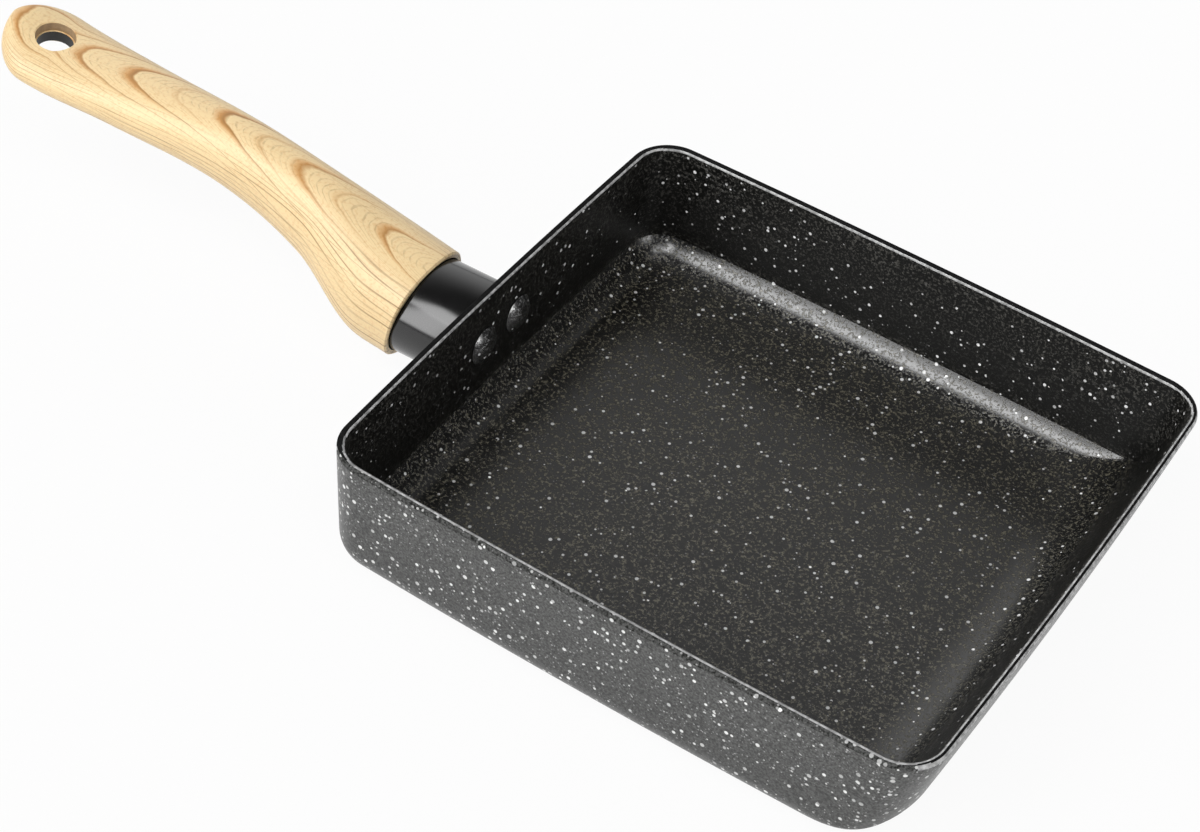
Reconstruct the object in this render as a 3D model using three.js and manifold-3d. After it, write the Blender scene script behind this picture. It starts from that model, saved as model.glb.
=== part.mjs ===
// Omelette pan: a rectangular coated aluminium body with an arched wood-look grip on a riveted bracket.
// Millimetres, +Z up. The origin is the middle of the rim's plan, on the plane the flat base stands on.
// The handle runs along -X and the curved far wall is at +X.
import * as THREE from 'three';
import { mergeVertices } from 'three/addons/utils/BufferGeometryUtils.js';
import Module from 'manifold-3d';

const wasm = await Module();
wasm.setup();

const degrees = THREE.MathUtils.degToRad;

// Gap left between any two pieces that touch on the real pan.
const CLEARANCE = 0.3;

// Pan body
const RIM_LENGTH = 180;
const RIM_WIDTH = 164;
const PAN_HEIGHT = 42.8;
const WALL = 2.4;
const FLOOR = 4.8;
const CORNER_RADIUS = 12.8;
const FAR_BASE_CORNER = 25;
const SIDE_CROWN = 0.9;
const SIDE_DRAFT = degrees(1.5);
const FAR_DRAFT = degrees(11.7);
const SIDE_FILLET = 11.4;
const FAR_FILLET = 28;
const INNER_SIDE_FILLET = 11;
const INNER_CREASE = degrees(30);
const INNER_FAR_FILLET = 24;
const LEAST_CORNER = 4;

// Ferrule: an oval sleeve square to the drafted handle wall
const FERRULE_HEIGHT = 20.6;
const FERRULE_HALF_WIDTH = 16.3;
const FERRULE_HALF_HEIGHT = 14.3;
const FERRULE_WALL = 1.2;
const FERRULE_SHOWN = 23.9;
const FERRULE_INSERT = 6;
const FERRULE_EDGE = 0.4;

// Bracket inside the ferrule, and the rivets that hold it to the wall
const FLANGE_THICKNESS = 2.5;
const TANG_WIDTH = 13;
const TANG_THICKNESS = 3;
const TANG_DEPTH = 36;
const RIVET_SPACING = 16.5;
const RIVET_RISE = 5;
const RIVET_SHANK = 2.5;
const RIVET_HEAD = 5.8;
const RIVET_DOME = 2.2;
const RIVET_TAIL = 3.4;
const RIVET_TAIL_HEIGHT = 1.8;

// Grip: sections square to a straight axis that rises from the ferrule. Each station is at a share of the
// grip's length, with its lift off the axis as a share of the arch, its half height as a share of the swell
// behind the ferrule, and its half width as a share of the neck's.
const GRIP_LENGTH = 153;
const GRIP_RISE = degrees(9.75);
const GRIP_LIP = 1.1;
const GRIP_FRONT_EDGE = 0.5;
const GRIP_ARCH = 9.9;
const SWELL_HALF_HEIGHT = 16.3;
const NECK_HALF_WIDTH = 10;
const SECTION_POWER = 2.3;
const GRIP_STATIONS = [
  { at: 0.1, lift: 0.03, height: 1, width: 1.71 },
  { at: 0.25, lift: 0.76, height: 0.79, width: 1.17 },
  { at: 0.45, lift: 1, height: 0.645, width: 1 },
  { at: 0.7, lift: 0.465, height: 0.49, width: 1.24 },
  { at: 0.9, lift: 0.02, height: 0.38, width: 1.5 },
  { at: 1, lift: 0.28, height: 0.36, width: 1.4 },
];
const TAIL_ROUND = 14.5;
const TAIL_EDGE_RATIO = 0.5;

// Hang hole, square to the grip: wider above a small ledge, countersunk below
const HOLE_SHARE = 0.897;
const HOLE_RADIUS = 6;
const HOLE_LOWER_RADIUS = 5.5;
const HOLE_LEDGE_DEPTH = 3.3;
const HOLE_EDGE = 0.3;
const HOLE_COUNTERSINK = 5.4;

// Screw from below the grip into the tang, on a spring washer
const SCREW_FROM_TANG_END = 7;
const SCREW_SHANK = 2;
const SCREW_HEAD = 3.6;
const SCREW_HEAD_HEIGHT = 2.3;
const SCREW_SUNK = 0.5;
const SCREW_PAST_TANG = 3;
const DRIVE_SLOT = 0.9;
const WASHER_THICKNESS = 1;
const WASHER_SPLIT = 0.9;
const WASHER_INSIDE_HEAD = 0.2;
const SCREW_TIP = 0.5;

// Mesh fineness
const CORNER_STEPS = 9;
const SIDE_STEPS = 6;
const FILLET_STEPS = 9;
const LIP_STEPS = 6;
const SECTION_STEPS = 40;
const GRIP_STEPS = 34;
const TAIL_STEPS = 9;
const ROUND_STEPS = 24;
const DOME_STEPS = 6;
const OVAL_STEPS = 48;

// Solids

function toSolid(geometry) {
  const bare = geometry.clone();
  bare.deleteAttribute('normal');
  bare.deleteAttribute('uv');
  const merged = mergeVertices(bare, 1e-4);
  const index = merged.index.array;
  const triangles = [];
  for (let i = 0; i < index.length; i += 3) {
    const [a, b, c] = [index[i], index[i + 1], index[i + 2]];
    if (a !== b && b !== c && c !== a) triangles.push(a, b, c);
  }
  const vertProperties = new Float32Array(merged.attributes.position.array);
  const solid = new wasm.Manifold(new wasm.Mesh({
    numProp: 3, vertProperties, triVerts: new Uint32Array(triangles),
  }));
  if (solid.volume() > 0) return solid;
  for (let i = 0; i < triangles.length; i += 3) {
    [triangles[i + 1], triangles[i + 2]] = [triangles[i + 2], triangles[i + 1]];
  }
  return new wasm.Manifold(new wasm.Mesh({
    numProp: 3, vertProperties, triVerts: new Uint32Array(triangles),
  }));
}

function toGeometry(solid) {
  const mesh = solid.getMesh();
  const geometry = new THREE.BufferGeometry();
  geometry.setAttribute('position', new THREE.BufferAttribute(new Float32Array(mesh.vertProperties), 3));
  geometry.setIndex(new THREE.BufferAttribute(new Uint32Array(mesh.triVerts), 1));
  geometry.computeVertexNormals();
  return geometry;
}

// Skins a stack of rings that all have the same number of points and closes both ends.
function loft(rings) {
  const count = rings[0].length;
  const positions = [];
  const index = [];
  rings.forEach((ring) => ring.forEach((p) => positions.push(p.x, p.y, p.z)));
  for (let k = 0; k + 1 < rings.length; k += 1) {
    for (let i = 0; i < count; i += 1) {
      const a = k * count + i;
      const b = k * count + (i + 1) % count;
      index.push(a, b, b + count, a, b + count, a + count);
    }
  }
  const ends = [[rings[0], 0, true], [rings[rings.length - 1], (rings.length - 1) * count, false]];
  for (const [ring, start, first] of ends) {
    const middle = ring.reduce((sum, p) => sum.add(p), new THREE.Vector3()).divideScalar(count);
    const centre = positions.length / 3;
    positions.push(middle.x, middle.y, middle.z);
    for (let i = 0; i < count; i += 1) {
      const a = start + i;
      const b = start + (i + 1) % count;
      if (first) index.push(centre, b, a);
      else index.push(centre, a, b);
    }
  }
  const geometry = new THREE.BufferGeometry();
  geometry.setAttribute('position', new THREE.Float32BufferAttribute(positions, 3));
  geometry.setIndex(index);
  return geometry;
}

// A right-handed local frame: x and y span the section, z is the direction of travel.
function frameAt(origin, across, up, along) {
  return new THREE.Matrix4().makeBasis(across, up, along).setPosition(origin);
}

function turned(profile, frame) {
  const points = profile.map(([radius, along]) => new THREE.Vector2(radius, along));
  const geometry = new THREE.LatheGeometry(points, ROUND_STEPS);
  geometry.rotateX(Math.PI / 2);
  return toSolid(geometry.applyMatrix4(frame));
}

function ovalRing(halfWidth, halfHeight, along, frame) {
  return Array.from({ length: OVAL_STEPS }, (_, i) => {
    const angle = (2 * Math.PI * i) / OVAL_STEPS;
    const point = new THREE.Vector3(halfWidth * Math.cos(angle), halfHeight * Math.sin(angle), along);
    return point.applyMatrix4(frame);
  });
}

function ovalBar(halfWidth, halfHeight, from, to, frame) {
  const ends = [from, to].map((along) => ovalRing(halfWidth, halfHeight, along, frame));
  return toSolid(loft(ends));
}

function block(width, height, from, to, frame) {
  const geometry = new THREE.BoxGeometry(width, height, to - from);
  geometry.translate(0, 0, (from + to) / 2);
  return toSolid(geometry.applyMatrix4(frame));
}

// Pan body

const LIP_RADIUS = WALL / 2;
const LIP_BASE = PAN_HEIGHT - LIP_RADIUS;

// One wall in section, from the floor up: a fillet that leaves the floor level and meets the drafted wall at
// the end angle. Where that is the draft itself the fillet runs into the wall without a crease.
function wallSection(draft, fillet, end, floor, topInset) {
  const filletTop = floor + fillet * (1 - Math.sin(end));
  const filletInset = topInset + (LIP_BASE - filletTop) * Math.tan(draft);
  const section = [];
  for (let k = FILLET_STEPS; k >= 0; k -= 1) {
    const angle = end + (Math.PI / 2 - end) * (k / FILLET_STEPS);
    const turn = fillet * (Math.cos(end) - Math.cos(angle));
    section.push({ inset: filletInset + turn, z: floor + fillet * (1 - Math.sin(angle)), turn });
  }
  section.push({ inset: (filletInset + topInset) / 2, z: (filletTop + LIP_BASE) / 2, turn: 0 });
  section.push({ inset: topInset, z: LIP_BASE, turn: 0 });
  return section;
}

// The corners next to the handle tighten as the fillet turns in; those at the far wall open out to the base.
function cornerRadii(rimRadius, far, side, floor) {
  const depth = 1 - (far.z - floor) / (LIP_BASE - floor);
  const handleEnd = Math.max(rimRadius - side.turn, LEAST_CORNER);
  const farEnd = rimRadius + (FAR_BASE_CORNER - CORNER_RADIUS) * depth ** 2;
  return [farEnd, handleEnd, handleEnd, farEnd];
}

// One ring round the pan, counter-clockwise from the far wall. The far wall has its own inset and height and
// the other three walls share theirs; the corners next to the far wall blend from one to the other.
function panRing(far, side, radii) {
  const ring = [];
  const sides = [far, side, side, side];
  const reach = [
    [RIM_LENGTH / 2 - far.inset, RIM_WIDTH / 2 - side.inset],
    [-(RIM_LENGTH / 2 - side.inset), RIM_WIDTH / 2 - side.inset],
    [-(RIM_LENGTH / 2 - side.inset), -(RIM_WIDTH / 2 - side.inset)],
    [RIM_LENGTH / 2 - far.inset, -(RIM_WIDTH / 2 - side.inset)],
  ];
  const centres = reach.map(([x, y], k) => [x - Math.sign(x) * radii[k], y - Math.sign(y) * radii[k]]);
  for (let corner = 0; corner < 4; corner += 1) {
    const [cx, cy] = centres[corner];
    const radius = radii[corner];
    const before = sides[corner].z;
    const after = sides[(corner + 1) % 4].z;
    for (let i = 0; i <= CORNER_STEPS; i += 1) {
      const share = i / CORNER_STEPS;
      const angle = (Math.PI / 2) * (corner + share);
      const z = THREE.MathUtils.lerp(before, after, THREE.MathUtils.smoothstep(share, 0, 1));
      ring.push(new THREE.Vector3(cx + radius * Math.cos(angle), cy + radius * Math.sin(angle), z));
    }
    const end = ring[ring.length - 1];
    const following = (corner + 1) % 4;
    const facing = (Math.PI / 2) * following;
    const outward = new THREE.Vector3(Math.cos(facing), Math.sin(facing), 0);
    const next = new THREE.Vector3(...centres[following], after).addScaledVector(outward, radii[following]);
    for (let i = 1; i < SIDE_STEPS; i += 1) {
      const share = i / SIDE_STEPS;
      const crown = SIDE_CROWN * (1 - (2 * share - 1) ** 2);
      ring.push(end.clone().lerp(next, share).addScaledVector(outward, crown));
    }
  }
  return ring;
}

function buildPanBody() {
  const rings = [];
  const outerFar = wallSection(FAR_DRAFT, FAR_FILLET, FAR_DRAFT, 0, 0);
  const outerSide = wallSection(SIDE_DRAFT, SIDE_FILLET, SIDE_DRAFT, 0, 0);
  outerFar.forEach((far, k) => {
    rings.push(panRing(far, outerSide[k], cornerRadii(CORNER_RADIUS, far, outerSide[k], 0)));
  });
  for (let k = 1; k < LIP_STEPS; k += 1) {
    const angle = (Math.PI * k) / LIP_STEPS;
    const inset = LIP_RADIUS * (1 - Math.cos(angle));
    const level = { inset, z: LIP_BASE + LIP_RADIUS * Math.sin(angle) };
    rings.push(panRing(level, level, Array(4).fill(CORNER_RADIUS - inset)));
  }
  const innerFar = wallSection(FAR_DRAFT, INNER_FAR_FILLET, FAR_DRAFT, FLOOR, WALL).reverse();
  const innerSide = wallSection(SIDE_DRAFT, INNER_SIDE_FILLET, INNER_CREASE, FLOOR, WALL).reverse();
  innerFar.forEach((far, k) => {
    rings.push(panRing(far, innerSide[k], cornerRadii(CORNER_RADIUS - WALL, far, innerSide[k], FLOOR)));
  });
  return toSolid(loft(rings));
}

// Frames of the handle

const lateral = new THREE.Vector3(0, 1, 0);
const ferruleOut = new THREE.Vector3(-Math.cos(SIDE_DRAFT), 0, -Math.sin(SIDE_DRAFT));
const ferruleUp = new THREE.Vector3(-Math.sin(SIDE_DRAFT), 0, Math.cos(SIDE_DRAFT));
const wallInset = (LIP_BASE - FERRULE_HEIGHT) * Math.tan(SIDE_DRAFT);
const wallPoint = new THREE.Vector3(-(RIM_LENGTH / 2 + SIDE_CROWN - wallInset), 0, FERRULE_HEIGHT);
const across = lateral.clone().negate();
const ferruleFrame = frameAt(wallPoint, across, ferruleUp, ferruleOut);

const gripOut = new THREE.Vector3(-Math.cos(GRIP_RISE), 0, Math.sin(GRIP_RISE));
const gripUp = new THREE.Vector3(Math.sin(GRIP_RISE), 0, Math.cos(GRIP_RISE));
const gripStart = wallPoint.clone().addScaledVector(ferruleOut, FERRULE_SHOWN);
const gripFrame = frameAt(gripStart, across, gripUp, gripOut);

// Ferrule

function buildFerrule() {
  const end = FERRULE_SHOWN + FERRULE_INSERT - CLEARANCE;
  const inward = FERRULE_EDGE;
  const rings = [
    ovalRing(FERRULE_HALF_WIDTH - inward, FERRULE_HALF_HEIGHT - inward, CLEARANCE, ferruleFrame),
    ovalRing(FERRULE_HALF_WIDTH, FERRULE_HALF_HEIGHT, CLEARANCE + inward, ferruleFrame),
    ovalRing(FERRULE_HALF_WIDTH, FERRULE_HALF_HEIGHT, end - inward, ferruleFrame),
    ovalRing(FERRULE_HALF_WIDTH - inward, FERRULE_HALF_HEIGHT - inward, end, ferruleFrame),
  ];
  const bore = ovalBar(
    FERRULE_HALF_WIDTH - FERRULE_WALL, FERRULE_HALF_HEIGHT - FERRULE_WALL, -WALL, end + WALL, ferruleFrame,
  );
  return toSolid(loft(rings)).subtract(bore);
}

// Rivets and bracket

const FLANGE_FAR_SIDE = CLEARANCE + FLANGE_THICKNESS;

function rivetFrame(side) {
  const origin = wallPoint.clone()
    .addScaledVector(ferruleUp, RIVET_RISE)
    .addScaledVector(lateral, (side * RIVET_SPACING) / 2);
  return frameAt(origin, across, ferruleUp, ferruleOut);
}

function buildRivet(side) {
  const seat = -WALL - CLEARANCE;
  const tail = FLANGE_FAR_SIDE + CLEARANCE;
  const sphere = (RIVET_HEAD ** 2 + RIVET_DOME ** 2) / (2 * RIVET_DOME);
  const spread = Math.asin(RIVET_HEAD / sphere);
  const profile = [];
  for (let k = 0; k <= DOME_STEPS; k += 1) {
    const angle = (spread * k) / DOME_STEPS;
    profile.push([sphere * Math.sin(angle), seat - RIVET_DOME + sphere * (1 - Math.cos(angle))]);
  }
  profile.push([RIVET_SHANK, seat]);
  profile.push([RIVET_SHANK, tail]);
  profile.push([RIVET_TAIL, tail]);
  profile.push([RIVET_TAIL, tail + RIVET_TAIL_HEIGHT * 0.6]);
  profile.push([RIVET_TAIL * 0.7, tail + RIVET_TAIL_HEIGHT]);
  profile.push([0, tail + RIVET_TAIL_HEIGHT]);
  return turned(profile, rivetFrame(side));
}

function rivetHole(side, from, to) {
  const radius = RIVET_SHANK + CLEARANCE;
  return turned([[0, from], [radius, from], [radius, to], [0, to]], rivetFrame(side));
}

function screwHole(radius, from, to) {
  return turned([[0, from], [radius, from], [radius, to], [0, to]], screwFrame);
}

function buildBracket() {
  const halfWidth = FERRULE_HALF_WIDTH - FERRULE_WALL - CLEARANCE;
  const halfHeight = FERRULE_HALF_HEIGHT - FERRULE_WALL - CLEARANCE;
  const flange = ovalBar(halfWidth, halfHeight, CLEARANCE, FLANGE_FAR_SIDE, ferruleFrame);
  const back = (FERRULE_SHOWN - CLEARANCE - FLANGE_THICKNESS / 2) / gripOut.dot(ferruleOut);
  let bracket = flange.add(block(TANG_WIDTH, TANG_THICKNESS, -back, TANG_DEPTH, gripFrame));
  for (const side of [-1, 1]) bracket = bracket.subtract(rivetHole(side, 0, FLANGE_FAR_SIDE + CLEARANCE));
  return bracket.subtract(screwHole(SCREW_SHANK + CLEARANCE, -TANG_THICKNESS, TANG_THICKNESS));
}

// Grip

const frontStation = {
  at: 0,
  lift: 0,
  halfHeight: FERRULE_HALF_HEIGHT + CLEARANCE + GRIP_LIP,
  halfWidth: FERRULE_HALF_WIDTH + CLEARANCE + GRIP_LIP,
};
const laterStations = GRIP_STATIONS.map((station) => ({
  at: station.at,
  lift: station.lift * GRIP_ARCH,
  halfHeight: station.height * SWELL_HALF_HEIGHT,
  halfWidth: station.width * NECK_HALF_WIDTH,
}));
const stations = [frontStation, ...laterStations];

// A smooth curve through one measure of the stations: cubic pieces whose slopes come from the neighbours.
function stationValue(measure, share) {
  const last = stations.length - 1;
  let i = 0;
  while (i < last - 1 && share > stations[i + 1].at) i += 1;
  const slope = (k) => {
    const low = Math.max(k - 1, 0);
    const high = Math.min(k + 1, last);
    return (stations[high][measure] - stations[low][measure]) / (stations[high].at - stations[low].at);
  };
  const span = stations[i + 1].at - stations[i].at;
  const t = (share - stations[i].at) / span;
  const start = stations[i][measure];
  const end = stations[i + 1][measure];
  return start * (1 + 2 * t) * (1 - t) ** 2 + slope(i) * span * t * (1 - t) ** 2
    + end * t * t * (3 - 2 * t) + slope(i + 1) * span * t * t * (t - 1);
}

function gripSection(share, widthFactor, heightFactor) {
  const lift = stationValue('lift', share);
  const halfHeight = stationValue('halfHeight', share) * heightFactor;
  const halfWidth = stationValue('halfWidth', share) * widthFactor;
  const bend = (value) => Math.sign(value) * Math.abs(value) ** (2 / SECTION_POWER);
  return Array.from({ length: SECTION_STEPS }, (_, i) => {
    const angle = (2 * Math.PI * i) / SECTION_STEPS;
    const local = new THREE.Vector3(
      halfWidth * bend(Math.cos(angle)), lift + halfHeight * bend(Math.sin(angle)), share * GRIP_LENGTH,
    );
    return local.applyMatrix4(gripFrame);
  });
}

const tailRound = TAIL_ROUND / GRIP_LENGTH;

function buildGripBlank() {
  const rings = [];
  const frontEdge = GRIP_FRONT_EDGE / GRIP_LENGTH;
  const edgeWidth = 1 - GRIP_FRONT_EDGE / frontStation.halfWidth;
  const edgeHeight = 1 - GRIP_FRONT_EDGE / frontStation.halfHeight;
  rings.push(gripSection(0, edgeWidth, edgeHeight));
  for (let k = 0; k <= GRIP_STEPS; k += 1) {
    rings.push(gripSection(frontEdge + (1 - tailRound - frontEdge) * (k / GRIP_STEPS), 1, 1));
  }
  for (let k = 1; k <= TAIL_STEPS; k += 1) {
    const angle = (degrees(86) * k) / TAIL_STEPS;
    const through = Math.sin(angle);
    const height = TAIL_EDGE_RATIO + (1 - TAIL_EDGE_RATIO) * Math.sqrt(1 - through ** 4);
    rings.push(gripSection(1 - tailRound + tailRound * through, Math.cos(angle), height));
  }
  return toSolid(loft(rings));
}

const screwAlong = TANG_DEPTH - SCREW_FROM_TANG_END;
const screwShare = screwAlong / GRIP_LENGTH;
const screwBottom = stationValue('lift', screwShare) - stationValue('halfHeight', screwShare);
const screwHeadEnd = screwBottom + SCREW_SUNK;
const screwHeadTop = screwHeadEnd + SCREW_HEAD_HEIGHT;
const washerBottom = screwHeadTop + CLEARANCE;
const screwSeat = washerBottom + WASHER_THICKNESS + CLEARANCE;
const screwEnd = TANG_THICKNESS / 2 + SCREW_PAST_TANG;
const screwOrigin = gripStart.clone().addScaledVector(gripOut, screwAlong);
const screwFrame = frameAt(screwOrigin, lateral, gripOut, gripUp);

const holeCentre = gripStart.clone()
  .addScaledVector(gripOut, HOLE_SHARE * GRIP_LENGTH)
  .addScaledVector(gripUp, stationValue('lift', HOLE_SHARE));
const holeHalf = stationValue('halfHeight', HOLE_SHARE);
const holeFrame = frameAt(holeCentre, lateral, gripOut, gripUp);

function hangHole() {
  const reach = holeHalf + HOLE_RADIUS;
  const profile = [
    [0, -reach],
    [HOLE_LOWER_RADIUS + HOLE_COUNTERSINK + reach - holeHalf, -reach],
    [HOLE_LOWER_RADIUS, -holeHalf + HOLE_COUNTERSINK],
    [HOLE_LOWER_RADIUS, holeHalf - HOLE_LEDGE_DEPTH],
    [HOLE_RADIUS, holeHalf - HOLE_LEDGE_DEPTH],
    [HOLE_RADIUS, holeHalf - HOLE_EDGE],
    [HOLE_RADIUS + HOLE_EDGE * 0.3, holeHalf - HOLE_EDGE * 0.3],
    [HOLE_RADIUS + HOLE_EDGE, holeHalf],
    [HOLE_RADIUS + HOLE_EDGE, reach],
    [0, reach],
  ];
  return turned(profile, holeFrame);
}

function buildGrip() {
  const recess = ovalBar(
    FERRULE_HALF_WIDTH + CLEARANCE, FERRULE_HALF_HEIGHT + CLEARANCE,
    FERRULE_SHOWN - FERRULE_INSERT, FERRULE_SHOWN + FERRULE_INSERT, ferruleFrame,
  );
  const slot = block(
    TANG_WIDTH + 2 * CLEARANCE, TANG_THICKNESS + 2 * CLEARANCE, 0, TANG_DEPTH + CLEARANCE, gripFrame,
  );
  const shankHole = screwHole(SCREW_SHANK + CLEARANCE, screwBottom, screwEnd + CLEARANCE);
  const headHole = screwHole(SCREW_HEAD + CLEARANCE, screwBottom - SCREW_HEAD, screwSeat);
  const cuts = [recess, slot, shankHole, headHole, hangHole()];
  return cuts.reduce((grip, cut) => grip.subtract(cut), buildGripBlank());
}

// Screw and washer

function buildScrew() {
  const profile = [
    [0, screwHeadEnd],
    [SCREW_HEAD * 0.7, screwHeadEnd],
    [SCREW_HEAD, screwHeadEnd + SCREW_HEAD_HEIGHT * 0.5],
    [SCREW_HEAD, screwHeadTop],
    [SCREW_SHANK, screwHeadTop],
    [SCREW_SHANK, screwEnd - SCREW_TIP],
    [SCREW_SHANK - SCREW_TIP, screwEnd],
    [0, screwEnd],
  ];
  const slotDepth = SCREW_HEAD_HEIGHT * 0.55;
  const slotLength = SCREW_HEAD * 1.15;
  const from = screwHeadEnd - SCREW_HEAD_HEIGHT;
  const to = screwHeadEnd + slotDepth;
  return turned(profile, screwFrame)
    .subtract(block(slotLength, DRIVE_SLOT, from, to, screwFrame))
    .subtract(block(DRIVE_SLOT, slotLength, from, to, screwFrame));
}

function buildWasher() {
  const inner = SCREW_SHANK + CLEARANCE;
  const outer = SCREW_HEAD - WASHER_INSIDE_HEAD;
  const half = Math.asin(WASHER_SPLIT / 2 / outer);
  const shape = new THREE.Shape();
  shape.absarc(0, 0, outer, half, 2 * Math.PI - half, false);
  shape.absarc(0, 0, inner, 2 * Math.PI - half, half, true);
  shape.closePath();
  const geometry = new THREE.ExtrudeGeometry(shape, {
    depth: WASHER_THICKNESS, bevelEnabled: false, curveSegments: ROUND_STEPS,
  });
  geometry.rotateZ(Math.PI / 2);
  geometry.translate(0, 0, washerBottom);
  return toSolid(geometry.applyMatrix4(screwFrame));
}

// Assembly

function finish(color, roughness, metalness) {
  return new THREE.MeshStandardMaterial({ color, roughness, metalness });
}

const coating = finish(0x2e2e2f, 0.55, 0.15);
const woodLook = finish(0xe8c993, 0.5, 0);
const glossBlack = finish(0x111112, 0.2, 0.1);
const steel = finish(0x9a9ca0, 0.4, 1);
const blackCoat = finish(0x1a1a1b, 0.5, 0.2);

const pan = new THREE.Group();
pan.name = 'omelette_pan';

function place(name, solid, material) {
  const mesh = new THREE.Mesh(toGeometry(solid), material);
  mesh.name = name;
  pan.add(mesh);
}

let body = buildPanBody();
for (const side of [-1, 1]) body = body.subtract(rivetHole(side, -WALL - RIVET_DOME, WALL));

place('pan_body', body, coating);
place('rivet_near', buildRivet(-1), blackCoat);
place('rivet_back', buildRivet(1), blackCoat);
place('handle_bracket', buildBracket(), steel);
place('ferrule', buildFerrule(), glossBlack);
place('handle_grip', buildGrip(), woodLook);
place('handle_screw', buildScrew(), steel);
place('spring_washer', buildWasher(), steel);

export default pan;
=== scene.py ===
import math

import bmesh
import bpy
from mathutils import Matrix, Vector


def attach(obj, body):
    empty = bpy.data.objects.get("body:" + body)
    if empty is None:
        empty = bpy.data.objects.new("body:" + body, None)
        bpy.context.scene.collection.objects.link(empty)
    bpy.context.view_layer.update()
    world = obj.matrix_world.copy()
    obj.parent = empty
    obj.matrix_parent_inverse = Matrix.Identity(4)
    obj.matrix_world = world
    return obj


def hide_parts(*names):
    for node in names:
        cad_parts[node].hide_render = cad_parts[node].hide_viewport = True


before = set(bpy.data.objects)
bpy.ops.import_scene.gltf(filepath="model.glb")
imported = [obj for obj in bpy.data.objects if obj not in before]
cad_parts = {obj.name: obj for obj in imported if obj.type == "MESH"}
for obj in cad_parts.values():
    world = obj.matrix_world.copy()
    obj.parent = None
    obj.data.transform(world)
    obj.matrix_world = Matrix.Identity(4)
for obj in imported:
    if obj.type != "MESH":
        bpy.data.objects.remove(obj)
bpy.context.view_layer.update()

MM = 0.001


def degrees(angle):
    """An angle given in degrees, in radians."""
    return math.radians(angle)


# Sizes in millimetres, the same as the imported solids.
CLEARANCE = 0.3

RIM_LENGTH = 180
RIM_WIDTH = 164
PAN_HEIGHT = 42.8
WALL = 2.4
FLOOR = 4.8
CORNER_RADIUS = 12.8
FAR_BASE_CORNER = 25
SIDE_CROWN = 0.9
SIDE_DRAFT = degrees(1.5)
FAR_DRAFT = degrees(11.7)
SIDE_FILLET = 11.4
FAR_FILLET = 28
INNER_SIDE_FILLET = 11
INNER_CREASE = degrees(30)
INNER_FAR_FILLET = 24
LEAST_CORNER = 4
LIP_RADIUS = WALL / 2
LIP_BASE = PAN_HEIGHT - LIP_RADIUS

FERRULE_HEIGHT = 20.6
FERRULE_HALF_WIDTH = 16.3
FERRULE_HALF_HEIGHT = 14.3
FERRULE_WALL = 1.2
FERRULE_SHOWN = 23.9
FERRULE_INSERT = 6
FERRULE_EDGE = 0.4

FLANGE_THICKNESS = 2.5
RIVET_SPACING = 16.5
RIVET_RISE = 5
RIVET_SHANK = 2.5
RIVET_HEAD = 5.8
RIVET_DOME = 2.2
RIVET_TAIL = 3.4
RIVET_TAIL_HEIGHT = 1.8
RIVET_TAIL_STRAIGHT = RIVET_TAIL_HEIGHT * 0.6
RIVET_TAIL_TOP = RIVET_TAIL * 0.7

GRIP_LENGTH = 153
GRIP_RISE = degrees(9.75)
GRIP_LIP = 1.1
GRIP_FRONT_EDGE = 0.5
GRIP_ARCH = 9.9
SWELL_HALF_HEIGHT = 16.3
NECK_HALF_WIDTH = 10
SECTION_POWER = 2.3
TAIL_ROUND = 14.5
TAIL_EDGE_RATIO = 0.5
TAIL_TURN = degrees(88)
TANG_WIDTH = 13
TANG_THICKNESS = 3
TANG_DEPTH = 36

HOLE_SHARE = 0.897
HOLE_RADIUS = 6
HOLE_LOWER_RADIUS = 5.5
HOLE_LEDGE_DEPTH = 3.3
HOLE_EDGE = 0.3
HOLE_COUNTERSINK = 5.4

SCREW_FROM_TANG_END = 7
SCREW_HEAD = 3.6
SCREW_HEAD_HEIGHT = 2.3
SCREW_SUNK = 0.5
WASHER_THICKNESS = 1

# Share of the grip's length, lift, half height and half width at each station behind the ferrule.
GRIP_STATIONS = [
    (0.1, 0.03, 1, 1.71),
    (0.25, 0.76, 0.79, 1.17),
    (0.45, 1, 0.645, 1),
    (0.7, 0.465, 0.49, 1.24),
    (0.9, 0.02, 0.38, 1.5),
    (1, 0.28, 0.36, 1.4),
]

# Mesh fineness
CORNER_STEPS = 16
SIDE_STEPS = 24
FILLET_STEPS = 16
WALL_STEPS = 4
LIP_STEPS = 16
OVAL_STEPS = 96
ROUND_STEPS = 64
SECTION_STEPS = 72
GRIP_STEPS = 130
TAIL_STEPS = 20
DOME_STEPS = 16
HOLE_EDGE_STEPS = 4
EDGE_TURNS = [degrees(angle) for angle in (0, 30, 60, 90)]

# Rings of the lip where the painted shade band, the painted highlight line and the inside start, on each
# side of the pan
LIP_NEAR = (7, 7, 10)
LIP_FAR = (5, 8, 10)
LIP_BACK = (0, 12, 15)
LIP_HANDLE = (0, 11, 14)


# Mesh helpers

def new_piece(name, points, faces, materials):
    mesh = bpy.data.meshes.new(name)
    mesh.from_pydata([Vector(p) * MM for p in points], [], faces)
    mesh.validate()
    for material in materials:
        mesh.materials.append(material)
    piece = bpy.data.objects.new(name, mesh)
    bpy.context.scene.collection.objects.link(piece)
    return piece


def smooth(piece, sharp_over):
    piece.data.shade_smooth()
    piece.data.set_sharp_from_angle(angle=degrees(sharp_over))


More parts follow.
